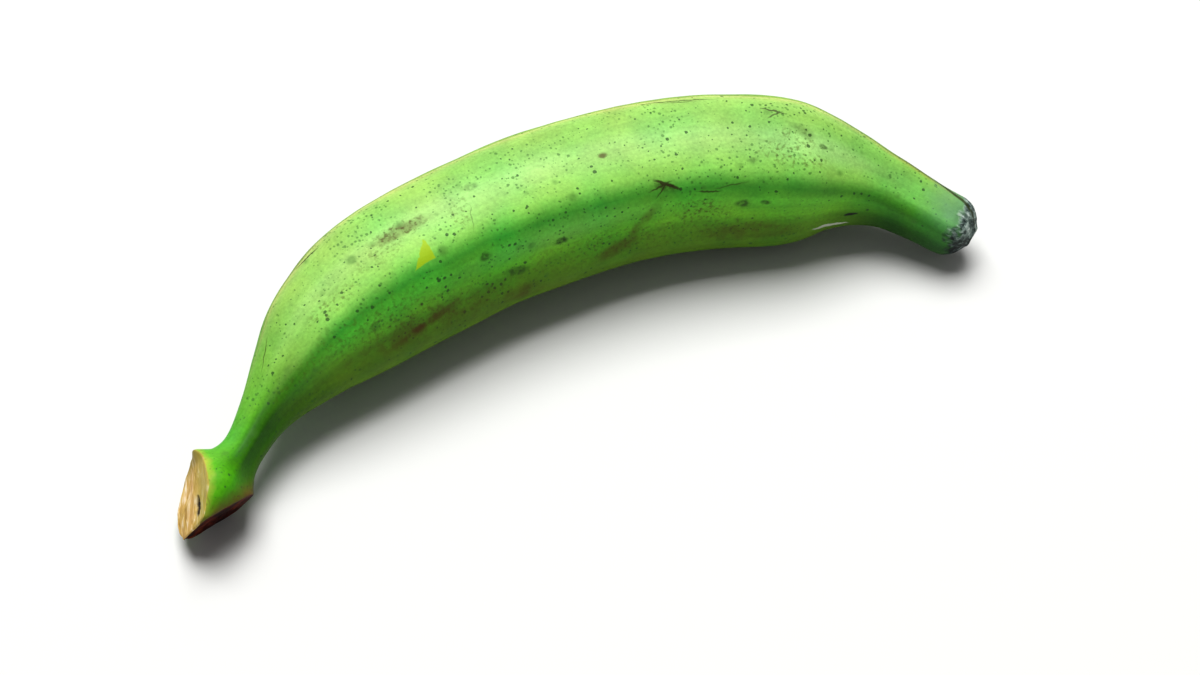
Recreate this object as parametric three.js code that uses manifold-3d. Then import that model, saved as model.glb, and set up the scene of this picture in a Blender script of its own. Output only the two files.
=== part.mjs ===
// A green plantain, one whole fruit cut from its bunch, lying on its side.
// Millimetres, +Z up. +X runs from the cut stem to the blossom tip, +Y is the outer side of the bend,
// and the origin is on the surface it lies on, under the middle of its bounding box.
import * as THREE from "three";
import { mergeVertices } from "three/addons/utils/BufferGeometryUtils.js";
import Module from "manifold-3d";

const wasm = await Module();
wasm.setup();

// ---- Driving dimensions, in millimetres and degrees ----

const CHORD = 236; // straight line from the stem's foot to the shoulder of the tip
const BOW = 52; // how far the fruit's axis arches away from that line
const FOOT_DIAMETER = 22; // the stem's flared end, where it grew on the bunch
const NECK_DIAMETER = 12; // the stem where it is thinnest
const BELLY_DIAMETER = 48; // the full part of the fruit
const TIP_DIAMETER = 19.5; // the blossom end, before it rounds over
const TIP_ROUND = 8; // length over which the tip closes
const SCAR_DIAMETER = 8; // the dry stub that the flower left
const SCAR_HEIGHT = 0.8;
const SCAR_TAPER = 0.84; // how much of its width the stub keeps at its end

// The foot ends in a blunt wedge of two cuts that meet on the axis.
const WEDGE_BACK = 4.5; // how far up the axis from its start the two cuts meet
const KNIFE_TURN = 62; // the pale knife cut: its way out of the axis, in the plane of the bend
const KNIFE_TILT = 16; // and out of that plane, up
const TEAR_TURN = -59; // the dark tear on the inner side of the bend
const TEAR_TILT = -17;

const RIDGES = [-12, 60, 136, 204, 272]; // the five ridges round the section, from the inner side of the bend
const FLATNESS = 0.1; // how far a face drops below a round section, as a share of the radius
const RIDGE_EDGE = 1.5; // 1 gives knife-edge ridges, 2 gives soft ones
const TWIST = -34; // turn of the ridges from the stem to the tip

const PRESS = 0.35; // how far the peel is flattened where the fruit rests

// ---- Mesh fineness ----

const RINGS = 64; // sections along the fruit
const END_FINENESS = 0.6; // 0 spaces them evenly, and towards 1 they crowd at both ends
const CAP_RINGS = 7; // sections that close the tip
const FACE_STEPS = 7; // points along each face of a section
const SETTLE_PASSES = 12; // turns it takes to lie level

// ---- Stations along the fruit, from the stem's foot to the shoulder of the tip ----
// along is the share of CHORD, bow the share of BOW, and ridged says how much of FLATNESS a section has.

const STATIONS = [
  { along: -0.012, bow: -0.19, diameter: FOOT_DIAMETER * 0.68, ridged: 0.4 },
  { along: 0.018, bow: -0.05, diameter: FOOT_DIAMETER * 0.95, ridged: 0.4 },
  { along: 0.052, bow: 0.08, diameter: FOOT_DIAMETER * 1.02, ridged: 0.5 },
  { along: 0.077, bow: 0.15, diameter: FOOT_DIAMETER * 0.63, ridged: 0.7 },
  { along: 0.095, bow: 0.21, diameter: NECK_DIAMETER, ridged: 0.9 },
  { along: 0.13, bow: 0.36, diameter: NECK_DIAMETER * 1.28, ridged: 1.1 },
  { along: 0.175, bow: 0.54, diameter: BELLY_DIAMETER * 0.53, ridged: 1.1 },
  { along: 0.225, bow: 0.69, diameter: BELLY_DIAMETER * 0.77, ridged: 1.1 },
  { along: 0.31, bow: 0.85, diameter: BELLY_DIAMETER * 0.94, ridged: 1 },
  { along: 0.43, bow: 0.96, diameter: BELLY_DIAMETER * 0.98, ridged: 1 },
  { along: 0.56, bow: 1, diameter: BELLY_DIAMETER, ridged: 1 },
  { along: 0.68, bow: 0.96, diameter: BELLY_DIAMETER, ridged: 1 },
  { along: 0.77, bow: 0.86, diameter: BELLY_DIAMETER * 0.98, ridged: 1 },
  { along: 0.85, bow: 0.72, diameter: BELLY_DIAMETER * 0.88, ridged: 1 },
  { along: 0.9, bow: 0.6, diameter: BELLY_DIAMETER * 0.68, ridged: 0.9 },
  { along: 0.945, bow: 0.425, diameter: TIP_DIAMETER * 1.22, ridged: 0.7 },
  { along: 0.983, bow: 0.2, diameter: TIP_DIAMETER * 1.02, ridged: 0.5 },
  { along: 1, bow: 0.09, diameter: TIP_DIAMETER * 0.98, ridged: 0.4 },
];

// A smooth function through the stations' values, over the share of the axis length.
function through(values, shares) {
  const points = values.map((value, i) => new THREE.Vector2(shares[i], value));
  return (share) => {
    let i = shares.findIndex((s) => s > share) - 1;
    if (i < 0) i = share < shares[0] ? 0 : shares.length - 2;
    const [a, b, c, d] = [i - 1, i, i + 1, i + 2].map(
      (k) => points[Math.min(Math.max(k, 0), points.length - 1)],
    );
    const t = (share - b.x) / (c.x - b.x);
    const rise = c.y - b.y;
    const flatAt = (before, after) => (c.x - b.x) * ((after.y - before.y) / (after.x - before.x));
    const m0 = a === b ? rise : flatAt(a, c);
    const m1 = c === d ? rise : flatAt(b, d);
    return (
      b.y * (2 * t ** 3 - 3 * t ** 2 + 1) +
      c.y * (-2 * t ** 3 + 3 * t ** 2) +
      m0 * (t ** 3 - 2 * t ** 2 + t) +
      m1 * (t ** 3 - t ** 2)
    );
  };
}

// The fruit's axis, and the share of its length at which each station stands.
const axis = new THREE.CatmullRomCurve3(
  STATIONS.map((s) => new THREE.Vector3((s.along - 0.5) * CHORD, s.bow * BOW, 0)),
  false,
  "centripetal",
);
axis.arcLengthDivisions = 1200;
const stationShares = STATIONS.map((_, i) => {
  const lengths = axis.getLengths();
  const at = (i / (STATIONS.length - 1)) * axis.arcLengthDivisions;
  return lengths[Math.round(at)] / axis.getLength();
});
const diameterAt = through(STATIONS.map((s) => s.diameter), stationShares);
const ridgedAt = through(STATIONS.map((s) => s.ridged), stationShares);

// The angles round a section at which its points stand: the ridges, and even steps between them.
const roundAngles = RIDGES.flatMap((ridge, i) => {
  const next = i + 1 < RIDGES.length ? RIDGES[i + 1] : RIDGES[0] + 360;
  return Array.from({ length: FACE_STEPS }, (_, k) => ({
    angle: THREE.MathUtils.degToRad(ridge + ((next - ridge) * k) / FACE_STEPS),
    drop: Math.sin((Math.PI * k) / FACE_STEPS) ** RIDGE_EDGE,
  }));
});

// One section: points round a centre on the axis, square to the axis.
function section(centre, along, radius, flatness, turn) {
  const outward = new THREE.Vector3(-along.y, along.x, 0);
  const up = new THREE.Vector3(0, 0, 1);
  return roundAngles.map(({ angle, drop }) => {
    const r = radius * (1 - flatness * drop);
    return centre
      .clone()
      .addScaledVector(outward, -Math.cos(angle + turn) * r)
      .addScaledVector(up, Math.sin(angle + turn) * r);
  });
}

// The whole fruit as it grew, before the knife: sections along the axis, then the rounded tip and its scar.
function fruitSections() {
  const sections = [];
  const twist = THREE.MathUtils.degToRad(TWIST);
  for (let i = 0; i <= RINGS; i++) {
    const even = i / RINGS;
    const share = even - (END_FINENESS * Math.sin(2 * Math.PI * even)) / (2 * Math.PI);
    sections.push(
      section(
        axis.getPointAt(share),
        axis.getTangentAt(share),
        diameterAt(share) / 2,
        FLATNESS * ridgedAt(share),
        twist * (share - 0.5),
      ),
    );
  }
  const end = axis.getPointAt(1);
  const way = axis.getTangentAt(1);
  const shoulder = diameterAt(1);
  const closing = Math.acos(SCAR_DIAMETER / shoulder);
  for (let i = 1; i <= CAP_RINGS; i++) {
    const angle = (closing * i) / CAP_RINGS;
    const centre = end.clone().addScaledVector(way, Math.sin(angle) * TIP_ROUND);
    const flatness = FLATNESS * ridgedAt(1) * Math.cos(angle);
    sections.push(section(centre, way, (shoulder / 2) * Math.cos(angle), flatness, twist / 2));
  }
  const rim = end.clone().addScaledVector(way, Math.sin(closing) * TIP_ROUND + SCAR_HEIGHT);
  sections.push(section(rim, way, (SCAR_DIAMETER / 2) * SCAR_TAPER, 0, twist / 2));
  return sections;
}

// A closed mesh that joins sections of equal count, with a flat lid on the first and the last.
function skin(sections) {
  const count = sections[0].length;
  const points = sections.flat();
  const faces = [];
  for (let ring = 0; ring + 1 < sections.length; ring++) {
    for (let i = 0; i < count; i++) {
      const a = ring * count + i;
      const b = ring * count + ((i + 1) % count);
      faces.push([a, a + count, b], [b, a + count, b + count]);
    }
  }
  for (const [ring, first] of [[0, 1], [sections.length - 1, 0]]) {
    const middle = points.length;
    const lid = sections[ring];
    points.push(lid.reduce((sum, p) => sum.add(p), new THREE.Vector3()).divideScalar(count));
    for (let i = 0; i < count; i++) {
      const a = ring * count + i;
      const b = ring * count + ((i + 1) % count);
      faces.push(first ? [middle, a, b] : [middle, b, a]);
    }
  }
  return new THREE.BufferGeometry().setFromPoints(points).setIndex(faces.flat());
}

function toSolid(geometry) {
  const bare = geometry.clone();
  bare.deleteAttribute("normal");
  bare.deleteAttribute("uv");
  const merged = mergeVertices(bare, 1e-4);
  return new wasm.Manifold(
    new wasm.Mesh({
      numProp: 3,
      vertProperties: merged.attributes.position.array,
      triVerts: new Uint32Array(merged.index.array),
    }),
  );
}

function toGeometry(solid) {
  const mesh = solid.getMesh();
  return new THREE.BufferGeometry()
    .setAttribute("position", new THREE.BufferAttribute(mesh.vertProperties, 3))
    .setIndex(new THREE.BufferAttribute(mesh.triVerts, 1));
}

// The geometry without what lies in a cube whose one face is centred on a point and looks against a normal.
function cutOff(geometry, point, normal, size) {
  const turn = new THREE.Quaternion().setFromUnitVectors(new THREE.Vector3(0, 0, 1), normal);
  const block = new THREE.BoxGeometry(size, size, size)
    .translate(0, 0, size / 2)
    .applyQuaternion(turn)
    .translate(point.x, point.y, point.z);
  return toGeometry(toSolid(geometry).subtract(toSolid(block)));
}

// The two cuts that took the foot off the bunch: planes turned out of the axis and tilted out of the bend.
function cutStem(geometry) {
  const out = axis.getTangentAt(0).negate();
  const up = new THREE.Vector3(0, 0, 1);
  const meet = axis.getPointAt(0).addScaledVector(out, -WEDGE_BACK);
  const cuts = [
    { turn: KNIFE_TURN, tilt: KNIFE_TILT },
    { turn: TEAR_TURN, tilt: TEAR_TILT },
  ];
  return cuts.reduce((left, { turn, tilt }) => {
    const level = out.clone().applyAxisAngle(up, -THREE.MathUtils.degToRad(turn));
    const lean = THREE.MathUtils.degToRad(tilt);
    const normal = level.multiplyScalar(Math.cos(lean)).addScaledVector(up, Math.sin(lean));
    return cutOff(left, meet, normal, 3 * FOOT_DIAMETER);
  }, geometry);
}

// Turns the fruit until three places along it touch one level surface, as it lies by itself: the stem's foot
// and the belly on both sides of its middle.
function layDown(geometry) {
  const position = geometry.attributes.position;
  const zones = [
    (x) => x < -CHORD / 4,
    (x) => Math.abs(x) <= CHORD / 4,
    (x) => x > CHORD / 4,
  ];
  for (let pass = 0; pass < SETTLE_PASSES; pass++) {
    const lowest = zones.map((inZone) => {
      const low = new THREE.Vector3(0, 0, Infinity);
      for (let i = 0; i < position.count; i++) {
        if (inZone(position.getX(i)) && position.getZ(i) < low.z) low.fromBufferAttribute(position, i);
      }
      return low;
    });
    const [foot, near, far] = lowest;
    const level = new THREE.Vector3()
      .crossVectors(far.clone().sub(foot), near.clone().sub(foot))
      .normalize();
    const turn = new THREE.Quaternion().setFromUnitVectors(level, new THREE.Vector3(0, 0, 1));
    geometry.applyQuaternion(turn);
  }
  geometry.computeBoundingBox();
  return geometry.translate(0, 0, -geometry.boundingBox.min.z);
}

function centred(geometry) {
  geometry.computeBoundingBox();
  const middle = geometry.boundingBox.getCenter(new THREE.Vector3());
  return geometry.translate(-middle.x, -middle.y, 0);
}

function buildPlantain() {
  const lying = layDown(cutStem(skin(fruitSections())));
  const pressed = cutOff(lying, new THREE.Vector3(0, 0, PRESS), new THREE.Vector3(0, 0, -1), 4 * CHORD);
  const geometry = centred(pressed.translate(0, 0, -PRESS));
  geometry.computeVertexNormals();
  const peel = new THREE.MeshStandardMaterial({ color: "#7cbb3f", roughness: 0.45, metalness: 0 });
  const mesh = new THREE.Mesh(geometry, peel);
  mesh.name = "plantain";
  return mesh;
}

const plantain = new THREE.Group();
plantain.add(buildPlantain());

export default plantain;
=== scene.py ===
import math

import bpy
from mathutils import Matrix, Vector


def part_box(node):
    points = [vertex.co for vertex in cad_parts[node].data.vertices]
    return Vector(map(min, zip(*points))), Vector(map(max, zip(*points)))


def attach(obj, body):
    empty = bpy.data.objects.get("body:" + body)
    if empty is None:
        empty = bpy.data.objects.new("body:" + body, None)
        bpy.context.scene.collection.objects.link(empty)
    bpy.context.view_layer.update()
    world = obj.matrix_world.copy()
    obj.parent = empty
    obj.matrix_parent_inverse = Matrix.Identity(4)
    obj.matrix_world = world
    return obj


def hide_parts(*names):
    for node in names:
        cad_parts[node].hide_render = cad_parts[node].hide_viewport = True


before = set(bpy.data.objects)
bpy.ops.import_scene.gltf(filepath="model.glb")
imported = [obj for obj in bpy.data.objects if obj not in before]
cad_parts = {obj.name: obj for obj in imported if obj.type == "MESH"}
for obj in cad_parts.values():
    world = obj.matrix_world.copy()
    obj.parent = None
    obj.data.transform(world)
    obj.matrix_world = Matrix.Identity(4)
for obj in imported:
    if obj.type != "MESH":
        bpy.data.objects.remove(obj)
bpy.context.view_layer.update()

MM = 0.001

# ---- Sizes of the fruit ----

CHORD = 236 * MM  # straight line from the stem's foot to the shoulder of the tip
BOW = 52 * MM  # how far the axis arches away from that line
FOOT = 22 * MM  # this and the next three are diameters
NECK = 12 * MM
BELLY = 48 * MM
TIP = 19.5 * MM
TIP_ROUND = 8 * MM  # length over which the tip closes
SCAR = 8 * MM  # diameter of the dry stub that the flower left

RIDGE_COUNT = 5
RIDGE_GAP = 360 / RIDGE_COUNT
FACE_STEPS = 6  # points from one ridge to the next
FIRST_RIDGE = -12  # degrees round the section, from the inner side of the bend
FLATNESS = 0.115  # how far a face drops below a round section, as a share of the radius
RIDGE_EDGE = 1.4  # higher values make the ridges rounder and the faces narrower
RIDGE_CREASE = 0.35  # how much of a ridge's edge the subdivision keeps
TWIST = -34  # degrees that the ridges turn from the stem to the tip
LEAN = 15.1  # degrees that the outer side of the bend is lifted as the fruit lies
PRESS = 0.35 * MM  # how far the peel is flattened where it rests

# The foot's two cuts: degrees out of the axis, in the plane of the bend and out of it, and the place on
# the axis.
KNIFE = {"turn": 66, "tilt": 27, "back": 4.7 * MM}
TEAR = {"turn": -57, "tilt": -13, "back": 6.6 * MM}
KNIFE_RIM = 0.1 * MM  # how far the skin stands proud round each cut
TEAR_RIM = 0.15 * MM
FOOT_REACH = 45 * MM  # how far from the foot the cuts act
WORN_REACH = 5 * MM  # the corner between the cuts is rounded over this reach
WORN_DEPTH = 2 * MM
SLIT = {"along": -6.6 * MM, "across": 7 * MM, "length": 6 * MM, "width": 2.8 * MM, "depth": 2 * MM}
# Places on the knife cut, along and across its fibres, that are pushed in, or out where the depth is
# negative.
DENTS = [
    {"along": -17 * MM, "across": -4 * MM, "reach": 10 * MM, "depth": 1.6 * MM},
    {"along": -4 * MM, "across": -7.5 * MM, "reach": 8 * MM, "depth": 1.6 * MM},
    {"along": -22.4 * MM, "across": 7 * MM, "reach": 4 * MM, "depth": -1.4 * MM},
]

NECK_END = 55 * MM  # between these two places the ridges are sharper
TIP_START = 245 * MM
ROUNDING = 1.0075  # the subdivision draws the skin in by this much, so the rings start larger
SKIN_RADIUS = 24 * MM  # the peel's pattern is unrolled at this radius
SEAM = 244  # degrees round the section where the peel's pattern begins, on the underside
STRAY = 7  # degrees that the borders between the greens stray round the fruit
# The rings of the dry stub at the tip: how far each is set in, and how far it is raised.
BLOSSOM_STEPS = ((0.5 * MM, 0.5 * MM), (0.5 * MM, 0.25 * MM), (0.8 * MM, -0.3 * MM), (1.0 * MM, -0.25 * MM))

RINGS = 84
END_FINENESS = 0.6  # 0 spaces the rings evenly, and towards 1 they crowd at both ends
CAP_RINGS = 7
CUT_RINGS = (0.8, 0.6, 0.4, 0.2)  # the rings of faces inside a cut's rim, as shares of its size
PER_SPAN = 40  # points of the axis from one station to the next
SMOOTH_ANGLE = 50  # degrees, past which two faces meet in a visible edge

# Share of CHORD, share of BOW and diameter at places along the axis.
STATIONS = [
    (-0.012, -0.19, 0.68 * FOOT),
    (0.018, -0.05, 0.95 * FOOT),
    (0.052, 0.093, 1.1 * FOOT),
    (0.077, 0.172, 0.65 * FOOT),
    (0.095, 0.234, NECK),
    (0.13, 0.38, 1.27 * NECK),
    (0.175, 0.54, 0.53 * BELLY),
    (0.225, 0.69, 0.77 * BELLY),
    (0.31, 0.85, 0.94 * BELLY),
    (0.43, 0.96, 0.98 * BELLY),
    (0.56, 1.0, BELLY),
    (0.68, 0.96, BELLY),
    (0.77, 0.86, BELLY),
    (0.85, 0.72, 0.93 * BELLY),
    (0.9, 0.6, 0.7 * BELLY),
    (0.945, 0.425, 1.22 * TIP),
    (0.983, 0.203, 1.05 * TIP),
    (1.0, 0.095, 1.03 * TIP),
]


# ---- Small helpers ----

def colour(hex_code):
    """An sRGB hex colour as linear red, green, blue and alpha."""
    parts = [int(hex_code[i:i + 2], 16) / 255 for i in (1, 3, 5)]
    linear = [c / 12.92 if c <= 0.04045 else ((c + 0.055) / 1.055) ** 2.4 for c in parts]
    return (*linear, 1.0)


def apply_modifier(piece, kind, **settings):
    modifier = piece.modifiers.new(kind.title(), kind)
    for name, value in settings.items():
        setattr(modifier, name, value)
    bpy.context.view_layer.objects.active = piece
    bpy.ops.object.modifier_apply(modifier=modifier.name)


# ---- The axis ----

def axis_points(per_span):
    """Points of a smooth curve through the stations, per_span of them from each station to the next."""
    marks = [Vector(((along - 0.5) * CHORD, bow * BOW, 0)) for along, bow, _ in STATIONS]
    marks = [2 * marks[0] - marks[1], *marks, 2 * marks[-1] - marks[-2]]
    points = []
    for before, start, end, after in zip(marks, marks[1:], marks[2:], marks[3:]):
        gap_before, gap, gap_after = (
            math.sqrt((q - p).length) for p, q in ((before, start), (start, end), (end, after))
        )
        leave = (start - before) / gap_before - (end - before) / (gap_before + gap) + (end - start) / gap
        arrive = (end - start) / gap - (after - start) / (gap + gap_after) + (after - end) / gap_after
        for i in range(per_span):
            t = i / per_span
            points.append(
                start * (2 * t**3 - 3 * t**2 + 1)
                + end * (3 * t**2 - 2 * t**3)
                + leave * gap * (t**3 - 2 * t**2 + t)
                + arrive * gap * (t**3 - t**2)
            )
    return [*points, marks[-2]]


AXIS = axis_points(PER_SPAN)
AXIS_PLACES = [0.0]
for start, end in zip(AXIS, AXIS[1:]):
    AXIS_PLACES.append(AXIS_PLACES[-1] + (end - start).length)
LENGTH = AXIS_PLACES[-1]
STATION_PLACES = AXIS_PLACES[::PER_SPAN]


def diameter_at(place):
    """The fruit's diameter at a place along the axis, on a smooth curve through the stations."""
    values = [diameter for _, _, diameter in STATIONS]
    last = len(values) - 1
    i = max((k for k in range(last) if STATION_PLACES[k] <= place), default=0)

    def slope(k):
        low, high = max(k - 1, 0), min(k + 1, last)
        return (values[high] - values[low]) / (STATION_PLACES[high] - STATION_PLACES[low])

    gap = STATION_PLACES[i + 1] - STATION_PLACES[i]
    t = (place - STATION_PLACES[i]) / gap
    return (
        values[i] * (2 * t**3 - 3 * t**2 + 1)
        + values[i + 1] * (3 * t**2 - 2 * t**3)
        + gap * slope(i) * (t**3 - 2 * t**2 + t)
        + gap * slope(i + 1) * (t**3 - t**2)
    )


def axis_object():
    """The axis as a curve object, for the modifier that bends the straight fruit."""
    data = bpy.data.curves.new("axis", "CURVE")
    data.dimensions = "2D"
    spline = data.splines.new("POLY")
    spline.points.add(len(AXIS) - 1)
    for point, place in zip(spline.points, AXIS):
        point.co = (*place, 1)
    curve = bpy.data.objects.new("axis", data)
    bpy.context.scene.collection.objects.link(curve)
    return curve


# ---- Modelling ----

def section_angle(point):
    """Degrees round the straight fruit: 0 on the inner side of the bend, and 90 above it."""
    return math.degrees(math.atan2(point.z, -point.y))


def first_ring(radius):
    """One ridged section of the fruit, in the YZ plane."""
    bpy.ops.object.select_all(action="DESELECT")
    bpy.ops.mesh.primitive_circle_add(
        vertices=RIDGE_COUNT * FACE_STEPS, radius=radius, fill_type="NGON", rotation=(0, math.pi / 2, 0)
    )
    piece = bpy.context.object
    bpy.ops.object.transform_apply(location=True, rotation=True, scale=True)
    from_ridge = [
        (section_angle(vertex.co) - FIRST_RIDGE) / RIDGE_GAP % 1 for vertex in piece.data.vertices
    ]
    for step in range(1, FACE_STEPS // 2 + 1):
        share = step / FACE_STEPS
        for vertex, there in zip(piece.data.vertices, from_ridge):
            vertex.select = abs(there - share) < 0.02 or abs(1 - there - share) < 0.02
        bpy.ops.object.mode_set(mode="EDIT")
        bpy.ops.mesh.select_mode(type="VERT")
        keep = 1 - FLATNESS * math.sin(math.pi * share) ** RIDGE_EDGE
        bpy.ops.transform.resize(value=(1, keep, keep), center_override=(0, 0, 0))
        bpy.ops.mesh.select_all(action="DESELECT")
        bpy.ops.object.mode_set(mode="OBJECT")
    return piece


def next_ring(place, step, growth, turn):
    """Extrudes the selected end by a step along X, up to a place, then grows it and turns it."""
    middle = (place, 0, 0)
    bpy.ops.mesh.extrude_region_move(TRANSFORM_OT_translate={"value": (step, 0, 0)})
    bpy.ops.transform.resize(value=(1, growth, growth), center_override=middle)
    bpy.ops.transform.rotate(value=turn, orient_axis="X", center_override=middle)


def straight_fruit():
    """The fruit before its bend, ring by ring from the foot to the rounded tip."""
    twist = math.radians(TWIST)
    place, radius = 0.0, ROUNDING * diameter_at(0) / 2
    piece = first_ring(radius)
    bpy.ops.object.mode_set(mode="EDIT")
    bpy.ops.mesh.select_mode(type="FACE")
    bpy.ops.mesh.select_all(action="SELECT")
    bpy.ops.transform.rotate(value=-twist / 2, orient_axis="X", center_override=(0, 0, 0))
    for i in range(1, RINGS + 1):
        even = i / RINGS
        new_place = (even - END_FINENESS * math.sin(2 * math.pi * even) / (2 * math.pi)) * LENGTH
        new_radius = ROUNDING * diameter_at(new_place) / 2
        step = new_place - place
        next_ring(new_place, step, new_radius / radius, twist * step / LENGTH)
        place, radius = new_place, new_radius
    shoulder = radius
    closing = math.acos(SCAR / 2 / shoulder)
    for i in range(1, CAP_RINGS + 1):
        angle = closing * i / CAP_RINGS
        new_place = LENGTH + math.sin(angle) * TIP_ROUND
        new_radius = math.cos(angle) * shoulder
        next_ring(new_place, new_place - place, new_radius / radius, 0)
        place, radius = new_place, new_radius
    for thickness, depth in BLOSSOM_STEPS:
        bpy.ops.mesh.inset(thickness=thickness, depth=depth)
    bpy.ops.mesh.poke()
    bpy.ops.object.mode_set(mode="OBJECT")
    crease_ridges(piece)
    return piece


def crease_ridges(piece):
    """Sharpens the edges that run along the ridges, over the middle of the fruit."""
    bpy.ops.object.mode_set(mode="EDIT")
    bpy.ops.mesh.select_mode(type="EDGE")
    bpy.ops.mesh.select_all(action="DESELECT")
    bpy.ops.object.mode_set(mode="OBJECT")
    mesh = piece.data
    for edge in mesh.edges:
        start, end = (mesh.vertices[v].co for v in edge.vertices)
        along = abs(end.x - start.x)
        middle = (start + end) / 2
        turned = section_angle(middle) - TWIST * (middle.x / LENGTH - 0.5) - FIRST_RIDGE
        off_ridge = abs((turned + RIDGE_GAP / 2) % RIDGE_GAP - RIDGE_GAP / 2)
        edge.select = along > 1 * MM and off_ridge < 2 and NECK_END < middle.x < TIP_START
    bpy.ops.object.mode_set(mode="EDIT")
    bpy.ops.transform.edge_crease(value=RIDGE_CREASE)
    bpy.ops.object.mode_set(mode="OBJECT")


def remember_growth(piece):
    """Keeps each point's place on the straight fruit, turned so that the angle's seam lies underneath."""
    turned = Matrix.Rotation(math.radians(180 - SEAM), 3, "X")
    grown = piece.data.attributes.new("grown", "FLOAT_VECTOR", "POINT")
    places = []
    for vertex in piece.data.vertices:
        place = turned @ Vector((vertex.co.x, -vertex.co.y, vertex.co.z))
        places.extend(place)
    grown.data.foreach_set("vector", places)


def cut_normal(turn, tilt, **_):
    """The way a cut of the foot looks: straight out of the stem, then turned and tilted."""
    stem = AXIS[1] - AXIS[0]
    level = math.atan2(stem.y, stem.x) + math.radians(180 - turn)
    lift = math.radians(tilt)
    return Vector((math.cos(level) * math.cos(lift), math.sin(level) * math.cos(lift), math.sin(lift)))


def cut_place(back, **_):
    """Where a cut crosses the stem's axis."""
    return AXIS[0] + (AXIS[1] - AXIS[0]).normalized() * back


def knife_axes():
    """The directions of the knife cut: along its fibres, across them, and out of it."""
    knife = cut_normal(**KNIFE)
    across = knife.cross(cut_normal(**TEAR)).normalized()
    return across.cross(knife), across, knife


def cut_foot(piece):
    """Cuts the foot to its blunt wedge, and gives each cut a rim and rings of small faces."""
    for cut in (KNIFE, TEAR):
        for vertex in piece.data.vertices:
            vertex.select = vertex.co.x < AXIS[0].x + FOOT_REACH
        bpy.ops.object.mode_set(mode="EDIT")
        bpy.ops.mesh.select_mode(type="VERT")
        bpy.ops.mesh.bisect(
            plane_co=cut_place(**cut), plane_no=cut_normal(**cut), use_fill=True, clear_outer=True
        )
        bpy.ops.mesh.remove_doubles(threshold=0.35 * MM)
        bpy.ops.object.mode_set(mode="OBJECT")
    for slot, cut, rim in ((1, KNIFE, KNIFE_RIM), (2, TEAR, TEAR_RIM)):
        normal = cut_normal(**cut)
        mesh = piece.data
        for items in (mesh.vertices, mesh.edges, mesh.polygons):
            items.foreach_set("select", [False] * len(items))
        middle = None
        for face in mesh.polygons:
            if len(face.vertices) > 8 and face.normal.dot(normal) > 0.99:
                face.select = True
                middle = face.center.copy()
        bpy.ops.object.mode_set(mode="EDIT")
        bpy.ops.mesh.select_mode(type="FACE")
        reach = 1
        # up over the rim, level along its top, down a little, and then level to the middle
        heights = (rim, 0, -0.3 * rim, 0, 0, 0)
        for new_reach, height in zip((0.975, 0.93, *CUT_RINGS), heights):
            bpy.ops.mesh.extrude_region_move(TRANSFORM_OT_translate={"value": normal * height})
            bpy.ops.transform.resize(value=(new_reach / reach,) * 3, center_override=middle)
            reach = new_reach
        bpy.ops.mesh.poke()
        bpy.ops.mesh.select_all(action="DESELECT")
        bpy.ops.object.mode_set(mode="OBJECT")
        for face in mesh.polygons:
            off_cut = abs((face.center - cut_place(**cut)).dot(normal))
            at_foot = face.center.x < AXIS[0].x + FOOT_REACH
            face.select = at_foot and off_cut < 0.25 * MM and face.normal.dot(normal) > 0.9
        piece.active_material_index = slot
        bpy.ops.object.mode_set(mode="EDIT")
        bpy.ops.object.material_slot_assign()
        bpy.ops.object.mode_set(mode="OBJECT")


def remember_cut(piece):
    """Keeps each point's place on the knife cut: along its fibres, across them, and out of it."""
    along, across, knife = knife_axes()
    middle = cut_place(**KNIFE)
    cut = piece.data.attributes.new("cut", "FLOAT_VECTOR", "POINT")
    places = []
    for vertex in piece.data.vertices:
        off = vertex.co - middle
        places.extend((off.dot(along), off.dot(across), off.dot(knife)))
    cut.data.foreach_set("vector", places)


def open_slit(piece):
    """Sinks the slit that the dried vessels left in the knife cut."""
    knife = cut_normal(**KNIFE)
    for vertex, item in zip(piece.data.vertices, piece.data.attributes["cut"].data):
        off_along = (item.vector.x - SLIT["along"]) / SLIT["length"] * 2
        off_across = (item.vector.y - SLIT["across"]) / SLIT["width"] * 2
        off = math.hypot(off_along, off_across)
        if off < 1 and abs(item.vector.z) < 1 * MM:
            vertex.co -= knife * SLIT["depth"] * (1 - off**2)


def wear_corner(piece):
    """Rounds the lowest corner of the foot, where the two cuts meet."""
    knife, tear = cut_normal(**KNIFE), cut_normal(**TEAR)
    edge = tear.cross(knife).normalized()
    foot = [vertex for vertex in piece.data.vertices if vertex.co.x < AXIS[0].x + FOOT_REACH]
    corner = max(foot, key=lambda vertex: vertex.co.dot(edge + knife + tear)).co.copy()
    inward = (cut_place(back=12 * MM) - corner).normalized()
    for vertex in foot:
        near = max(1 - (vertex.co - corner).length / WORN_REACH, 0)
        vertex.co += inward * WORN_DEPTH * near**2


def dent_foot(piece):
    """Flattens the sides of the foot where the stem was pressed, and raises the lip at its top corner."""
    along, across, _ = knife_axes()
    foot = [vertex for vertex in piece.data.vertices if vertex.co.x < AXIS[0].x + FOOT_REACH]
    for dent in DENTS:
        place = cut_place(**KNIFE) + along * dent["along"] + across * dent["across"]
        inward = (cut_place(back=KNIFE["back"] - dent["along"]) - place).normalized()
        for vertex in foot:
            near = max(1 - ((vertex.co - place).length / dent["reach"]) ** 2, 0)
            vertex.co += inward * dent["depth"] * near**2


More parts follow.
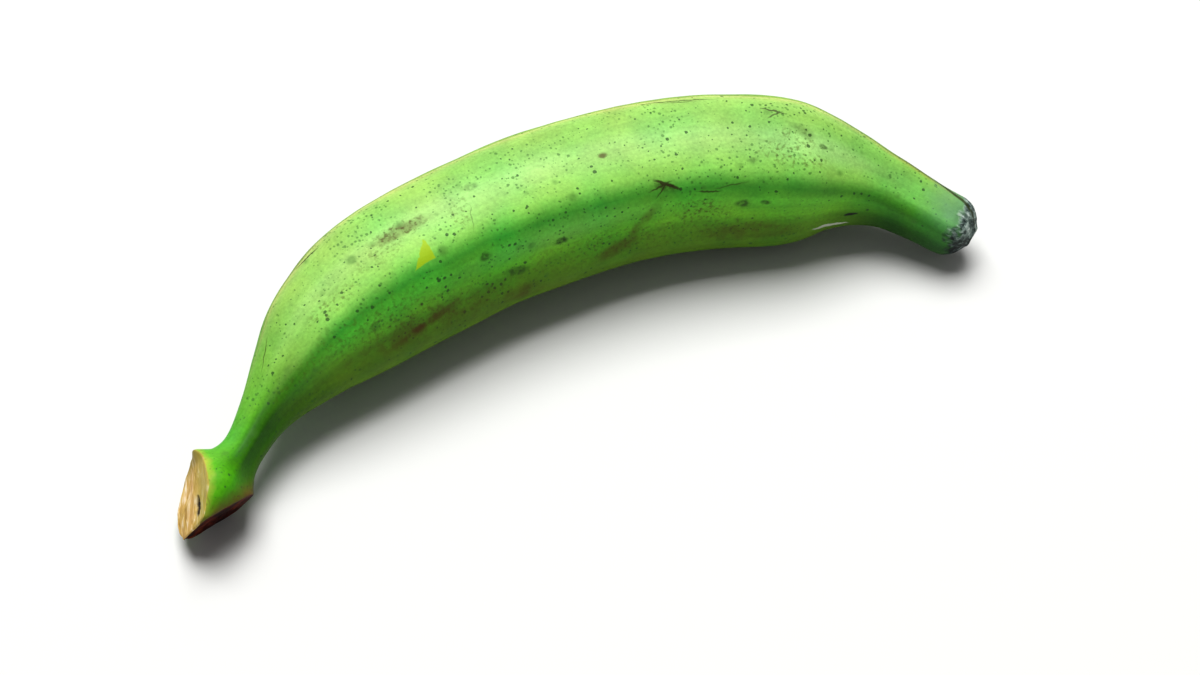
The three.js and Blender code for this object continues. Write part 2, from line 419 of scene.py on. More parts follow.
def roughen(piece, name, size, strength, weight_of):
    """Pushes the surface in and out with a cloud pattern of a given size, where weight_of(place) says."""
    texture = bpy.data.textures.new(name, "CLOUDS")
    texture.noise_scale = size
    texture.noise_depth = 2
    group = piece.vertex_groups.new(name=name)
    for index, item in enumerate(piece.data.attributes["grown"].data):
        weight = weight_of(item.vector.x)
        if weight > 0:
            group.add([index], weight, "REPLACE")
    apply_modifier(
        piece, "DISPLACE", texture=texture, texture_coords="LOCAL", strength=strength,
        mid_level=0.5, vertex_group=name,
    )
    piece.vertex_groups.clear()
    bpy.data.textures.remove(texture)


def lay_down(piece):
    """Leans the fruit, sets it where the frame has it, and presses its underside flat."""
    piece.rotation_euler.x = math.radians(LEAN)
    bpy.ops.object.transform_apply(location=True, rotation=True, scale=True)
    low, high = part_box("plantain")
    points = [vertex.co for vertex in piece.data.vertices]
    own_low = Vector([min(point[k] for point in points) for k in range(3)])
    own_high = Vector([max(point[k] for point in points) for k in range(3)])
    shift = (low + high - own_low - own_high) / 2
    shift.z = low.z - PRESS - own_low.z
    for point in points:
        point += shift
        point.z = max(point.z, low.z)


def ramp(start, end):
    """A weight that rises from 0 at start to 1 at end, both along the axis."""
    return lambda place: min(max((place - start) / (end - start), 0), 1)


def build_fruit():
    """The whole fruit as one piece, from its first ring to its place in the frame."""
    piece = straight_fruit()
    piece.name = piece.data.name = "fruit"
    for material in (peel_material(), cut_flesh_material(), dried_tear_material()):
        piece.data.materials.append(material)
    remember_growth(piece)
    curve = axis_object()
    apply_modifier(piece, "CURVE", object=curve, deform_axis="POS_X")
    bpy.data.objects.remove(curve)
    cut_foot(piece)
    apply_modifier(piece, "SUBSURF", levels=2, render_levels=2)
    remember_cut(piece)
    open_slit(piece)
    wear_corner(piece)
    dent_foot(piece)
    roughen(piece, "swelling", 24 * MM, 0.9 * MM, ramp(20 * MM, 70 * MM))
    roughen(piece, "stem lumps", 5 * MM, 0.7 * MM, ramp(30 * MM, 10 * MM))
    roughen(piece, "blossom crust", 2.2 * MM, 0.35 * MM, ramp(LENGTH - 6 * MM, LENGTH + 3 * MM))
    lay_down(piece)
    bpy.ops.object.select_all(action="DESELECT")
    piece.select_set(True)
    bpy.context.view_layer.objects.active = piece
    bpy.ops.object.shade_smooth_by_angle(angle=math.radians(SMOOTH_ANGLE))
    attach(piece, "root")
    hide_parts("plantain")


# ---- Materials ----

def new_material(name):
    material = bpy.data.materials.new(name)
    material.use_nodes = True
    material.node_tree.nodes.clear()
    return material, material.node_tree


def add(tree, kind, inputs=None, **settings):
    """Adds a node with its settings, sets or links its inputs, and gives its first live output."""
    node = tree.nodes.new(kind)
    for name, value in settings.items():
        setattr(node, name, value)
    for key, value in (inputs or {}).items():
        if isinstance(key, str):
            socket = next(s for s in node.inputs if s.enabled and s.name == key)
        else:
            socket = node.inputs[key]
        if isinstance(value, bpy.types.NodeSocket):
            tree.links.new(value, socket)
        else:
            socket.default_value = value
    return next((s for s in node.outputs if s.enabled), None)


def stops(tree, factor, colours, low, high):
    """Reads a colour at a value between low and high, from pairs of a value and a hex colour."""
    share = add(tree, "ShaderNodeMapRange", {"Value": factor, "From Min": low, "From Max": high})
    result = add(tree, "ShaderNodeValToRGB", {0: share})
    elements = result.node.color_ramp.elements
    for i, (value, hex_code) in enumerate(colours):
        place = (value - low) / (high - low)
        element = elements[i] if i < 2 else elements.new(place)
        element.position = place
        element.color = colour(hex_code)
    return result


def mixed(tree, factor, base, top):
    return add(tree, "ShaderNodeMix", {"Factor": factor, "A": base, "B": top}, data_type="RGBA")


# Marks on the peel: from one place to another (millimetres from the foot, degrees round), width in
# millimetres, softness of the border and strength.
# painted highlight: pale patches of sheen on the upper face, where the light's glare falls
PAINTED_SHEEN = [
    ((106, 93), (130, 92), 13, 1.8, 0.22),
    ((138, 97), (150, 96), 10, 1.8, 0.22),
    ((160, 92), (206, 90), 12, 1.8, 0.14),
    ((216, 84), (234, 80), 11, 1.8, 0.24),
    ((128, 42), (164, 40), 7, 1.8, 0.12),
]
HAIRLINES = [
    ((98.5, 151), (113.6, 144), 0.55, 0.5, 0.95),
    ((92, 149), (99, 150.5), 0.4, 0.5, 0.7),
    ((78.5, 140), (84.8, 134), 0.6, 0.5, 0.95),
    ((179.9, 127), (199.6, 121), 0.5, 0.5, 0.9),
    ((186, 123), (194, 120.5), 0.4, 0.6, 0.7),
    ((199, 130), (216, 128), 0.4, 0.8, 0.5),
    ((60, 130), (52.7, 122), 0.5, 0.8, 0.7),
    ((176.5, 59), (183.5, 50), 1.1, 0.6, 0.9),
    ((174.5, 52), (181, 56), 0.6, 0.7, 0.8),
    ((176, 47), (180, 55), 0.5, 0.7, 0.8),
    ((212, 110), (218.5, 107), 0.5, 0.7, 0.8),
    ((214, 103), (217.5, 108), 0.5, 0.7, 0.7),
    ((190, 46), (197, 45), 0.5, 0.7, 0.8),
    ((123, 87), (120, 70), 0.35, 0.9, 0.4),
    ((15.1, 90), (12.7, 73), 0.7, 0.7, 0.7),
    ((214, 137), (236, 133), 0.5, 0.7, 0.8),
    ((205, 50), (196, 47), 0.4, 0.9, 0.6),
]
BLACK_EDGES = [
    ((238, 136), (266, 124), 1.2, 0.6, 0.95),
    ((242.9, 3), (245.9, 5), 1.6, 0.5, 0.95),
]
TIP_EDGE = [
    ((265, 125), (281, 100), 2.6, 0.9, 0.9),
]
RED_BROWN_STAINS = [
    ((82, 15), (107, 21), 4.4, 1.9, 0.95),
    ((68, 26), (119, 12), 12, 1.8, 0.6),
    ((175, 37), (166, 12), 3.4, 1.2, 0.55),
    ((168, 12), (158, 5), 4.4, 1.2, 0.6),
    ((163.8, 88), (164.6, 88), 1.9, 1, 0.8),
    ((124, 5), (134, 0), 6, 1.2, 0.55),
    ((66, 160), (82, 145), 3.6, 1.2, 0.5),
    ((229, 131), (239, 138), 4, 1.2, 0.6),
    ((196, 4), (222, 2), 7, 1.2, 0.5),
    ((98, 99), (108, 97), 4.5, 1.0, 0.55),
]
FRECKLED_PATCHES = [
    ((98, 100), (108, 97), 6, 1.0, 0.8),
    ((70, 88), (80, 84), 7, 1.0, 0.55),
    ((90, 90), (98, 88), 7, 1.0, 0.5),
    ((121, 94), (118, 78), 6, 1.0, 0.5),
    ((214, 74), (226, 70), 9, 1.0, 0.65),
    ((186, 32), (196, 27), 9, 1.0, 0.85),
    ((219, 90), (225, 84), 6, 1.0, 0.5),
    ((60, 60), (120, 12), 16, 1.2, 0.5),
    ((130, 20), (230, 4), 12, 1.2, 0.5),
]
OLIVE_SPOTS = [
    ((177.5, 55), (181.5, 51), 2.4, 1.2, 0.8),
    ((143.4, 33.5), (145.4, 33), 2.1, 0.9, 0.95),
    ((119.6, 48.3), (120.6, 47.8), 2.5, 0.9, 0.75),
    ((204, 32.8), (205.6, 32.3), 3, 1.2, 0.85),
    ((211.6, 33.4), (213, 33), 1.9, 1, 0.85),
    ((134.6, 40), (135.2, 40), 2, 0.9, 0.5),
    ((127, 24), (131, 21), 3, 1.2, 0.8),
    ((222, 96), (225, 92), 3.6, 1.3, 0.5),
    ((229.6, 83.5), (230.4, 83), 1.9, 0.9, 0.7),
    ((126, 103.6), (127.4, 103), 2.6, 1.2, 0.5),
    ((207, 66), (208.2, 66), 1.9, 1, 0.55),
    ((243.4, 3), (245.4, 4.5), 2.2, 0.7, 0.9),
]
WHITE_SCARS = [
    ((231.6, -7), (243.6, -12), 1.5, 0.4, 0.95),
]
CHIP = [(99.2, 64.5), (106.2, 64.5), (106.4, 80)]  # corners of the place where a chip of the skin is gone


def on_peel(place, angle):
    """A place on the unrolled peel, in metres, from millimetres along the fruit and degrees round it."""
    return Vector((place * MM, math.radians(angle - SEAM + 180) * SKIN_RADIUS))


def mark_place(mark):
    """A mark's middle and half size on the unrolled peel, in metres, and its turn."""
    start, end, width = on_peel(*mark[0]), on_peel(*mark[1]), mark[2] * MM
    span = end - start
    return (start + end) / 2, Vector(((span.length + width) / 2, width / 2)), math.atan2(span.y, span.x)


def marks_mask(tree, unrolled, marks):
    """1 inside any of the marks and 0 outside, with their soft borders and strengths."""
    mask = None
    for mark in marks:
        middle, half, turn = mark_place(mark)
        local = add(tree, "ShaderNodeMapping", {
            "Vector": unrolled, "Location": (*middle, 0), "Rotation": (0, 0, turn), "Scale": (*half, 1),
        }, vector_type="TEXTURE")
        off = add(tree, "ShaderNodeVectorMath", {0: local}, operation="LENGTH")
        # the length of a vector is that node's second output
        off = off.node.outputs["Value"]
        inside = add(tree, "ShaderNodeMapRange", {
            "Value": off, "From Min": 1 + mark[3] / 2, "From Max": 1 - mark[3] / 2, "To Max": mark[4],
        }, interpolation_type="SMOOTHSTEP")
        if mask is None:
            mask = inside
        else:
            mask = add(tree, "ShaderNodeMath", {0: mask, 1: inside}, operation="MAXIMUM")
    return mask


def peel_material():
    """Unripe plantain peel: satin wax over bright green, dark dots, brown scars and a black blossom end."""
    material, tree = new_material("waxy unripe plantain peel")
    grown = add(tree, "ShaderNodeAttribute", attribute_name="grown").node.outputs["Vector"]
    place = add(tree, "ShaderNodeSeparateXYZ", {0: grown}).node.outputs
    skin = add(tree, "ShaderNodeTexCoord").node.outputs["Object"]
    along = place["X"]
    angle = add(tree, "ShaderNodeMath", {0: place["Z"], 1: place["Y"]}, operation="ARCTAN2")
    around = add(tree, "ShaderNodeMath", {0: angle, 1: SKIN_RADIUS}, operation="MULTIPLY")
    flat = add(tree, "ShaderNodeCombineXYZ", {"X": along, "Y": around})
    wander = add(tree, "ShaderNodeTexNoise", {"Vector": skin, "Scale": 500, "Detail": 3})
    wander = add(tree, "ShaderNodeVectorMath", {0: wander.node.outputs["Color"], 1: (0.5, 0.5, 0.5)},
                 operation="SUBTRACT")
    wander = add(tree, "ShaderNodeVectorMath", {0: wander, "Scale": 1.4 * MM}, operation="SCALE")
    unrolled = add(tree, "ShaderNodeVectorMath", {0: flat, 1: wander}, operation="ADD")

    # the angle from the seam, following the ridges as they turn, with a slow wander
    turned = add(tree, "ShaderNodeMath", {0: along, 1: math.radians(-TWIST) / LENGTH, 2: angle},
                 operation="MULTIPLY_ADD")
    slow = add(tree, "ShaderNodeTexNoise", {"Vector": skin, "Scale": 60, "Detail": 2})
    turned = add(tree, "ShaderNodeMath", {0: slow, 1: math.radians(STRAY), 2: turned},
                 operation="MULTIPLY_ADD")
    middle_turn = math.radians(TWIST) / 2 - math.radians(STRAY / 2) + math.radians(SEAM - 180)
    turned = add(tree, "ShaderNodeMath", {0: turned, 1: middle_turn}, operation="ADD")
    turned = add(tree, "ShaderNodeMath", {0: turned, 1: 180 / math.pi}, operation="MULTIPLY")

    # painted shade and painted light: these greens make the lower faces darker and the upper face paler
    # than the peel's own colour
    body = stops(tree, turned, BODY_COLOURS, *COLOUR_RANGE)
    stem = stops(tree, turned, STEM_COLOURS, *COLOUR_RANGE)
    end = stops(tree, turned, END_COLOURS, *COLOUR_RANGE)
    stem_share = add(tree, "ShaderNodeMapRange", {"Value": along, "From Min": 78 * MM, "From Max": 38 * MM},
                     interpolation_type="SMOOTHSTEP")
    foot = stops(tree, turned, FOOT_COLOURS, *COLOUR_RANGE)
    foot_share = add(tree, "ShaderNodeMapRange", {"Value": along, "From Min": 30 * MM, "From Max": 19 * MM},
                     interpolation_type="SMOOTHSTEP")
    end_share = add(tree, "ShaderNodeMapRange", {
        "Value": along, "From Min": 228 * MM, "From Max": 262 * MM,
    }, interpolation_type="SMOOTHSTEP")
    green = mixed(tree, stem_share, body, stem)
    green = mixed(tree, foot_share, green, foot)
    green = mixed(tree, end_share, green, end)
    # a painted highlight on the upper face: pale sheen standing in for the light's glare, in soft broad
    # patches
    green = mixed(tree, marks_mask(tree, unrolled, PAINTED_SHEEN), green, colour("#a6d68c"))

    # patches of a yellower and a bluer green, 20 to 30 mm across, and fine streaks along the fruit
    patches = add(tree, "ShaderNodeTexNoise", {"Vector": skin, "Scale": 48, "Detail": 3})
    hue = add(tree, "ShaderNodeMapRange", {"Value": patches, "From Min": 0.3, "From Max": 0.7,
                                           "To Min": 0.483, "To Max": 0.512})
    streak_place = add(tree, "ShaderNodeVectorMath", {0: unrolled, 1: (1 / 45, 1 / 1.6, 0)},
                       operation="MULTIPLY")
    streaks = add(tree, "ShaderNodeTexNoise", {"Vector": streak_place, "Scale": 1 / MM, "Detail": 4})
    grain = add(tree, "ShaderNodeTexNoise", {"Vector": skin, "Scale": 1 / (0.9 * MM), "Detail": 3})
    clouds = add(tree, "ShaderNodeTexNoise", {"Vector": skin, "Scale": 110, "Detail": 4})
    value = add(tree, "ShaderNodeMath", {0: streaks, 1: 0.34, 2: 0.83}, operation="MULTIPLY_ADD")
    value = add(tree, "ShaderNodeMath", {0: grain, 1: 0.62, 2: value}, operation="MULTIPLY_ADD")
    value = add(tree, "ShaderNodeMath", {0: clouds, 1: 0.6, 2: value}, operation="MULTIPLY_ADD")
    value = add(tree, "ShaderNodeMath", {0: value, 1: 0.6}, operation="SUBTRACT")
    green = add(tree, "ShaderNodeHueSaturation", {"Hue": hue, "Value": value, "Color": green})

    uneven = add(tree, "ShaderNodeTexNoise", {"Vector": skin, "Scale": 1 / (0.8 * MM), "Detail": 1})
    uneven = add(tree, "ShaderNodeVectorMath", {0: uneven.node.outputs["Color"], "Scale": 0.5 * MM},
                 operation="SCALE")
    uneven = add(tree, "ShaderNodeVectorMath", {0: uneven, 1: skin}, operation="ADD")

    # dark dots, mostly 0.3 to 1 mm across, denser here and there
    dots = add(tree, "ShaderNodeTexVoronoi", {"Vector": uneven, "Scale": 1 / (2 * MM)})
    luck = add(tree, "ShaderNodeSeparateXYZ", {0: dots.node.outputs["Color"]})
    crowd = add(tree, "ShaderNodeTexNoise", {"Vector": skin, "Scale": 55, "Detail": 1})
    reach = add(tree, "ShaderNodeMapRange", {"Value": crowd, "From Min": 0.36, "From Max": 0.66,
                                             "To Min": 0.13, "To Max": 0.33})
    luck = add(tree, "ShaderNodeMath", {0: luck, 1: 1.2}, operation="POWER")
    reach = add(tree, "ShaderNodeMath", {0: reach, 1: luck}, operation="MULTIPLY")
    depth = add(tree, "ShaderNodeMath", {0: reach, 1: dots}, operation="SUBTRACT")
    depth = add(tree, "ShaderNodeMapRange", {"Value": depth, "From Min": -0.02, "From Max": 0.03,
                                             "To Max": 0.85})
    green = mixed(tree, depth, green, colour("#23461a"))

    # smaller and softer ones between them
    dots = add(tree, "ShaderNodeTexVoronoi", {"Vector": uneven, "Scale": 1 / (1.15 * MM)})
    luck = add(tree, "ShaderNodeSeparateXYZ", {0: dots.node.outputs["Color"]})
    crowd = add(tree, "ShaderNodeTexNoise", {"Vector": skin, "Scale": 90, "Detail": 2})
    reach = add(tree, "ShaderNodeMapRange", {"Value": crowd, "From Min": 0.4, "From Max": 0.64,
                                             "To Min": 0.12, "To Max": 0.46})
    reach = add(tree, "ShaderNodeMath", {0: reach, 1: luck}, operation="MULTIPLY")
    depth = add(tree, "ShaderNodeMath", {0: reach, 1: dots}, operation="SUBTRACT")
    depth = add(tree, "ShaderNodeMapRange", {"Value": depth, "From Min": -0.08, "From Max": 0.1,
                                             "To Max": 0.65})
    green = mixed(tree, depth, green, colour("#2c5a1c"))

    # soft olive spots up to 3 mm across, further apart
    spots = add(tree, "ShaderNodeTexVoronoi", {"Vector": uneven, "Scale": 1 / (8 * MM)})
    luck = add(tree, "ShaderNodeSeparateXYZ", {0: spots.node.outputs["Color"]})
    reach = add(tree, "ShaderNodeMath", {0: luck, 1: 0.2}, operation="MULTIPLY")
    depth = add(tree, "ShaderNodeMath", {0: reach, 1: spots}, operation="SUBTRACT")
    depth = add(tree, "ShaderNodeMapRange", {"Value": depth, "From Min": -0.06, "From Max": 0.08,
                                             "To Max": 0.55})
    green = mixed(tree, depth, green, colour("#3c6a22"))

    # scars and stains, each kind in its own colour
    freckles = add(tree, "ShaderNodeTexNoise", {"Vector": skin, "Scale": 1 / (1.1 * MM), "Detail": 3})
    freckles = add(tree, "ShaderNodeMapRange", {"Value": freckles, "From Min": 0.5, "From Max": 0.66})
    blotches = add(tree, "ShaderNodeTexNoise", {"Vector": skin, "Scale": 1 / (4 * MM), "Detail": 4})
    blotches = add(tree, "ShaderNodeMapRange", {"Value": blotches, "From Min": 0.15, "From Max": 0.56})
    mask = marks_mask(tree, unrolled, FRECKLED_PATCHES)
    mask = add(tree, "ShaderNodeMath", {0: mask, 1: freckles}, operation="MULTIPLY")
    green = mixed(tree, mask, green, colour("#454a12"))
    mask = marks_mask(tree, unrolled, RED_BROWN_STAINS)
    mask = add(tree, "ShaderNodeMath", {0: mask, 1: blotches}, operation="MULTIPLY")
    green = mixed(tree, mask, green, colour("#452e0a"))
    crumbs = add(tree, "ShaderNodeTexNoise", {"Vector": skin, "Scale": 1 / (1.5 * MM), "Detail": 3})
    crumbs = add(tree, "ShaderNodeMapRange", {"Value": crumbs, "From Min": 0.3, "From Max": 0.55,
                                              "To Min": 0.35})
    mask = marks_mask(tree, unrolled, OLIVE_SPOTS)
    mask = add(tree, "ShaderNodeMath", {0: mask, 1: crumbs}, operation="MULTIPLY")
    green = mixed(tree, mask, green, colour("#243a0f"))
    green = mixed(tree, marks_mask(tree, unrolled, HAIRLINES), green, colour("#2b2410"))
    green = mixed(tree, marks_mask(tree, unrolled, BLACK_EDGES), green, colour("#141a12"))
    green = mixed(tree, marks_mask(tree, unrolled, WHITE_SCARS), green, colour("#b9bfae"))

    # a chip where the skin's surface is gone, three-cornered, yellower than the rest
    corners = [on_peel(*corner) for corner in CHIP]
    chip = None
    for start, end in zip(corners, corners[1:] + corners[:1]):
        side = (end - start).normalized()
        inside = add(tree, "ShaderNodeVectorMath", {0: unrolled, 1: (*start, 0)}, operation="SUBTRACT")
        inside = add(tree, "ShaderNodeVectorMath", {0: inside, 1: (-side.y, side.x, 0)},
                     operation="DOT_PRODUCT").node.outputs["Value"]
        if chip is None:
            chip = inside
        else:
            chip = add(tree, "ShaderNodeMath", {0: chip, 1: inside}, operation="MINIMUM")
    chip = add(tree, "ShaderNodeMapRange", {"Value": chip, "From Min": -0.2 * MM, "From Max": 0.1 * MM,
                                            "To Max": 0.9})
    green = mixed(tree, chip, green, colour("#94b208"))

    # next to the knife cut the skin has dried yellow, and next to the tear reddish brown
    cut = add(tree, "ShaderNodeAttribute", attribute_name="cut").node.outputs["Vector"]
    behind_knife = add(tree, "ShaderNodeSeparateXYZ", {0: cut}).node.outputs["Z"]
    fibre_side, _, knife = knife_axes()
    tear = cut_normal(**TEAR)
    behind_tear = add(tree, "ShaderNodeVectorMath", {0: cut, 1: (tear.dot(fibre_side), 0, tear.dot(knife))},
                      operation="DOT_PRODUCT").node.outputs["Value"]
    tear_back = (cut_place(**KNIFE) - cut_place(**TEAR)).dot(tear)
    behind_tear = add(tree, "ShaderNodeMath", {0: behind_tear, 1: tear_back}, operation="ADD")
    at_foot = add(tree, "ShaderNodeMath", {0: along, 1: FOOT_REACH}, operation="LESS_THAN")
    for behind, reach, dry in ((behind_knife, 3.2 * MM, "#a8ab3e"), (behind_tear, 5 * MM, "#5d3a16")):
        ragged = add(tree, "ShaderNodeMath", {0: blotches, 1: -1.6 * MM, 2: behind},
                     operation="MULTIPLY_ADD")
        dried = add(tree, "ShaderNodeMapRange", {"Value": ragged, "From Min": -reach, "From Max": -0.4 * MM,
                                                 "To Max": 0.9})
        dried = add(tree, "ShaderNodeMath", {0: dried, 1: at_foot}, operation="MULTIPLY")
        green = mixed(tree, dried, green, colour(dry))

    # towards the blossom end the skin turns grey-green and then black, with a ragged border
    ragged = add(tree, "ShaderNodeTexNoise", {"Vector": skin, "Scale": 1 / (5 * MM), "Detail": 5})
    # the black stops short on the underside
    lower_side = add(tree, "ShaderNodeMapRange", {"Value": turned, "From Min": 50, "From Max": 20,
                                                  "To Max": -1.5 * MM})
    edge = add(tree, "ShaderNodeMath", {0: ragged, 1: 12 * MM, 2: along}, operation="MULTIPLY_ADD")
    edge = add(tree, "ShaderNodeMath", {0: edge, 1: lower_side}, operation="ADD")
    edge = add(tree, "ShaderNodeMath", {0: edge, 1: 6 * MM}, operation="SUBTRACT")
    grey = add(tree, "ShaderNodeMapRange", {"Value": edge, "From Min": 262 * MM, "From Max": 273 * MM,
                                            "To Max": 0.65})
    upper_side = add(tree, "ShaderNodeMapRange", {"Value": turned, "From Min": 50, "From Max": 85,
                                                  "To Min": 0.15})
    grey = add(tree, "ShaderNodeMath", {0: grey, 1: upper_side}, operation="MULTIPLY")
    green = mixed(tree, grey, green, colour("#5c8664"))
    black = add(tree, "ShaderNodeMapRange", {"Value": edge, "From Min": 274.2 * MM, "From Max": 276.4 * MM,
                                             "To Max": 0.97})
    # silver flakes on the black, drawn out along the fruit
    drawn = add(tree, "ShaderNodeVectorMath", {0: grown, 1: (1 / 2.4, 1 / 1.2, 1 / 1.2)},
                operation="MULTIPLY")
    flakes = add(tree, "ShaderNodeTexNoise", {"Vector": drawn, "Scale": 1 / MM, "Detail": 4,
                                              "Distortion": 0.5})
    # painted light and shade: the crust is made paler towards the upper side and darker underneath
    silver_and_light = add(tree, "ShaderNodeMapRange", {"Value": turned, "From Min": 30, "From Max": 85,
                                              "To Min": -0.07, "To Max": 0.13})
    silver_and_light = add(tree, "ShaderNodeMath", {0: flakes, 1: silver_and_light}, operation="ADD")
    crust = stops(tree, silver_and_light, [
        (0.36, "#0d1114"), (0.48, "#20282a"), (0.58, "#4c5a56"), (0.7, "#84968e"), (0.8, "#c4d0c8"),
    ], 0.0, 1.0)
    skin_colour = mixed(tree, black, green, crust)
    # the ridge on the outer side stays dark olive down to the end
    skin_colour = mixed(tree, marks_mask(tree, unrolled, TIP_EDGE), skin_colour, colour("#262f10"))

    roughness = add(tree, "ShaderNodeMapRange", {"Value": clouds, "To Min": 0.46, "To Max": 0.62})
    bump = add(tree, "ShaderNodeBump", {"Height": grain, "Strength": 0.12, "Distance": 0.3 * MM})
    bump = add(tree, "ShaderNodeBump", {"Height": streaks, "Strength": 0.12, "Distance": 0.5 * MM,
                                        "Normal": bump})
    crusted = add(tree, "ShaderNodeMath", {0: flakes, 1: black}, operation="MULTIPLY")
    bump = add(tree, "ShaderNodeBump", {"Height": crusted, "Strength": 0.5, "Distance": 0.6 * MM,
                                        "Normal": bump})
    shader = add(tree, "ShaderNodeBsdfPrincipled", {
        "Base Color": skin_colour, "Roughness": roughness, "Normal": bump, "IOR": 1.45,
        "Specular IOR Level": 0.12,
    })
    add(tree, "ShaderNodeOutputMaterial", {"Surface": shader})
    return material


def cut_flesh_material():
    """The knife cut of the stem, dried to an ochre felt of fibres with paler streaks and a dark slit."""
    material, tree = new_material("dried cut of the stem")
    cut = add(tree, "ShaderNodeAttribute", attribute_name="cut").node.outputs["Vector"]
    place = add(tree, "ShaderNodeSeparateXYZ", {0: cut}).node.outputs
    stretched = add(tree, "ShaderNodeVectorMath", {0: cut, 1: (1 / 5, 1 / 1.6, 1 / 3)},
                    operation="MULTIPLY")
    fibres = add(tree, "ShaderNodeTexNoise", {"Vector": stretched, "Scale": 1 / MM, "Detail": 4,
                                              "Distortion": 0.6})
    flesh = stops(tree, fibres, [
        (0.3, "#7d5a20"), (0.4, "#ab8632"), (0.5, "#c8a24a"), (0.58, "#dcbf80"), (0.68, "#f5e8c8"),
    ], 0.0, 1.0)
    blush = add(tree, "ShaderNodeTexNoise", {"Vector": cut, "Scale": 1 / (6 * MM), "Detail": 2})
    blush = add(tree, "ShaderNodeMapRange", {"Value": blush, "From Min": 0.4, "From Max": 0.65,
                                             "To Max": 0.6})
    flesh = mixed(tree, blush, flesh, colour("#c99a56"))
    near_peel = add(tree, "ShaderNodeMapRange", {"Value": place["Y"], "From Min": 3.5 * MM,
                                                 "From Max": 9 * MM, "To Max": 0.7})
    flesh = mixed(tree, near_peel, flesh, colour("#98923a"))
    corner = add(tree, "ShaderNodeMapRange", {"Value": place["X"], "From Min": -17.5 * MM,
                                              "From Max": -22 * MM, "To Max": 0.85})
    flesh = mixed(tree, corner, flesh, colour("#7d751e"))
    slit = add(tree, "ShaderNodeMapping", {
        "Vector": cut, "Location": (SLIT["along"], SLIT["across"], 0),
        "Scale": (SLIT["length"] / 2, SLIT["width"] / 2, 1),
    }, vector_type="TEXTURE")
    slit = add(tree, "ShaderNodeVectorMath", {0: slit}, operation="LENGTH").node.outputs["Value"]
    slit = add(tree, "ShaderNodeMapRange", {"Value": slit, "From Min": 1.1, "From Max": 0.8})
    flesh = mixed(tree, slit, flesh, colour("#1a1208"))
    bump = add(tree, "ShaderNodeBump", {"Height": fibres, "Strength": 0.6, "Distance": 0.6 * MM})
    shader = add(tree, "ShaderNodeBsdfPrincipled", {
        "Base Color": flesh, "Roughness": 0.66, "Normal": bump, "IOR": 1.45, "Specular IOR Level": 0.25,
    })
    add(tree, "ShaderNodeOutputMaterial", {"Surface": shader})
    return material


def dried_tear_material():
    """The torn side of the foot: dried sap gives it a dark red cast, and painted shade of the underside
    makes it nearly black.
    """
    material, tree = new_material("dark red tear of the stem, nearly black with painted shade")
    skin = add(tree, "ShaderNodeTexCoord").node.outputs["Object"]
    clots = add(tree, "ShaderNodeTexNoise", {"Vector": skin, "Scale": 1 / (3 * MM), "Detail": 5})
    # painted shade: the darkest of these colours stand for the shade under the foot, on top of the dried
    # sap's dark red
    sap = stops(tree, clots, [(0.35, "#110301"), (0.5, "#2e0904"), (0.62, "#501608"), (0.75, "#6b3514")],
                0.0, 1.0)
    bump = add(tree, "ShaderNodeBump", {"Height": clots, "Strength": 0.8, "Distance": 0.8 * MM})
    shader = add(tree, "ShaderNodeBsdfPrincipled", {
        "Base Color": sap, "Roughness": 0.7, "Normal": bump, "IOR": 1.45, "Specular IOR Level": 0.08,
    })
    add(tree, "ShaderNodeOutputMaterial", {"Surface": shader})
    return material


# Colours round the fruit, by degrees from the inner side of the bend: over the body, along the stem, at its
# foot and at the tip.
# Part of these tables is painted shade and painted light: the lower faces and the band just under the ridge
# at about 55 degrees are darker, and the upper face paler, than the peel's own greens.
COLOUR_RANGE = (-140, 270)
BODY_COLOURS = [
    (-140, "#4c8620"), (-60, "#528720"), (-22, "#4c6a16"), (-12, "#547c16"), (-3, "#4e7816"),
    (8, "#528a18"), (20, "#519a1c"), (28, "#60b826"), (38, "#54b42a"), (46, "#54c032"), (51, "#46a42b"),
    (55, "#389028"), (60, "#50a334"), (64, "#6ab444"), (69, "#80c250"), (76, "#7db74e"), (84, "#7fb554"),
    (92, "#87ba5c"), (100, "#88bf60"), (108, "#7fb953"), (118, "#7fb44f"), (128, "#87b458"),
    (132, "#92b258"), (134, "#a8b96a"), (136, "#7c9c3c"), (143, "#5c9a30"), (200, "#53902c"),
    (204, "#73963a"), (209, "#508c26"), (264, "#4c8620"), (270, "#4c8620"),
]
# along the stem the lower side, up to about 70 degrees, is darkened with painted shade
STEM_COLOURS = [
    (-140, "#357b12"), (-12, "#3c6208"), (12, "#2a5804"), (20, "#255206"), (44, "#205004"), (54, "#286204"),
    (68, "#236206"), (76, "#2e7608"), (84, "#3c8a10"), (92, "#48981c"), (110, "#4a9824"), (133, "#4c982b"),
    (150, "#489428"), (204, "#428c22"), (264, "#357b12"), (270, "#357b12"),
]
FOOT_COLOURS = [
    (-140, "#357b12"), (-12, "#5c5a10"), (10, "#4c6c0e"), (28, "#3f8408"), (44, "#3c9408"), (60, "#40930a"),
    (80, "#48a014"), (100, "#58aa26"), (133, "#5aac2c"), (204, "#489722"), (264, "#357b12"),
    (270, "#357b12"),
]
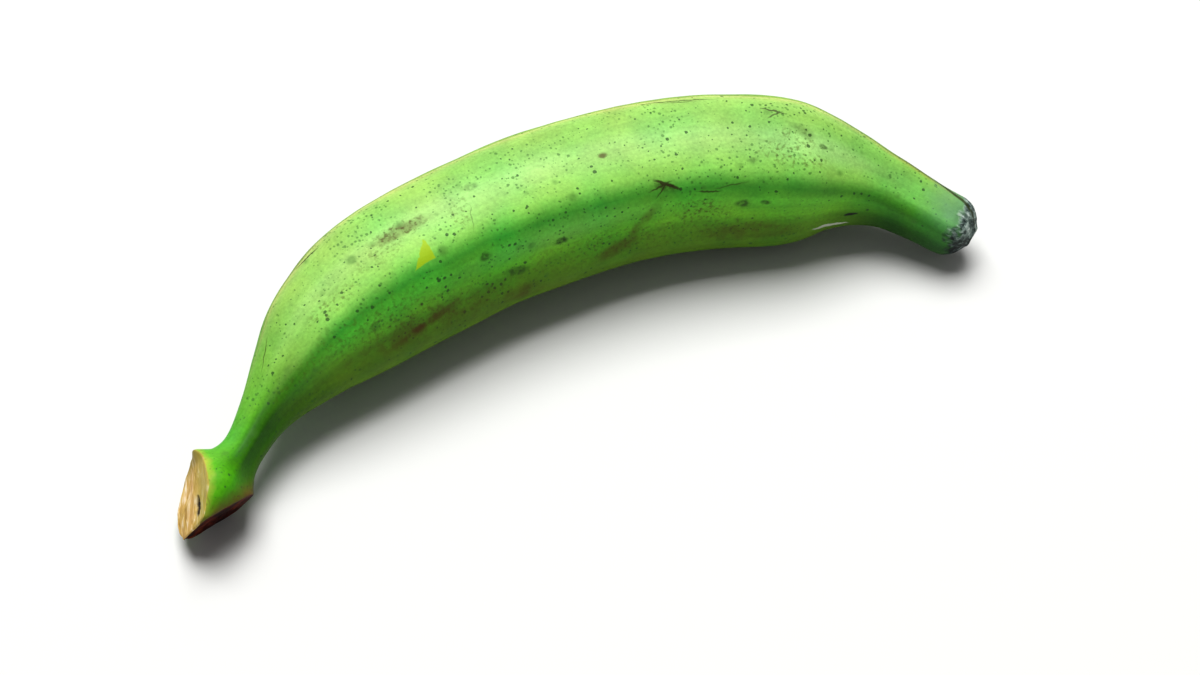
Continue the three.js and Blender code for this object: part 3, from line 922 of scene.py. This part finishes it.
# the darkest greens, on the underside near the tip, are painted shade
END_COLOURS = [
    (-140, "#2c5c18"), (-12, "#1d420c"), (10, "#1c4c0a"), (20, "#20560e"), (28, "#2b6b15"), (44, "#3b8420"),
    (52, "#387a1b"), (60, "#3d831f"), (68, "#48902c"), (76, "#5ca43e"), (92, "#5c9e40"), (108, "#61a444"),
    (126, "#6aa642"), (132, "#7a9940"), (136, "#4c5c1c"), (145, "#4f8828"), (204, "#44802a"),
    (264, "#2c5c18"), (270, "#2c5c18"),
]


# ---- Floor, light and camera ----

def stage():
    bpy.ops.object.select_all(action="DESELECT")
    bpy.ops.mesh.primitive_plane_add(size=12, location=(0, 0, 0))
    floor = bpy.context.object
    floor.name = "floor"
    material, tree = new_material("matte pale studio floor")
    shader = add(tree, "ShaderNodeBsdfPrincipled", {"Base Color": colour("#cbcbc9"), "Roughness": 0.9})
    add(tree, "ShaderNodeOutputMaterial", {"Surface": shader})
    floor.data.materials.append(material)

    world = bpy.data.worlds.new("studio")
    bpy.context.scene.world = world
    world.use_nodes = True
    background = world.node_tree.nodes["Background"]
    background.inputs["Color"].default_value = colour("#ffffff")
    background.inputs["Strength"].default_value = 0.2

    place = Vector((0.25, 1.0, 3.0))
    bpy.ops.object.light_add(type="AREA", location=place)
    light = bpy.context.object
    light.name = "overhead softbox"
    light.data.size = 2.3
    light.data.energy = 188
    light.rotation_euler = place.to_track_quat("Z", "Y").to_euler()


def camera():
    """Looks down on the fruit from the side of its inner bend, a little from the stem's end."""
    azimuth, elevation, distance = math.radians(-25.1), math.radians(49.5), 0.548
    back = Vector((
        math.sin(azimuth) * math.cos(elevation),
        -math.cos(azimuth) * math.cos(elevation),
        math.sin(elevation),
    ))
    target = Vector((0.0002, -0.0295, 0.0191))
    bpy.ops.object.camera_add(location=target + back * distance)
    view = bpy.context.object
    view.rotation_euler = back.to_track_quat("Z", "Y").to_euler()
    view.data.lens = 60
    view.data.sensor_width = 36
    view.data.clip_start = 0.01
    bpy.context.scene.camera = view


bpy.context.scene.view_settings.view_transform = "Standard"
camera()
stage()
build_fruit()
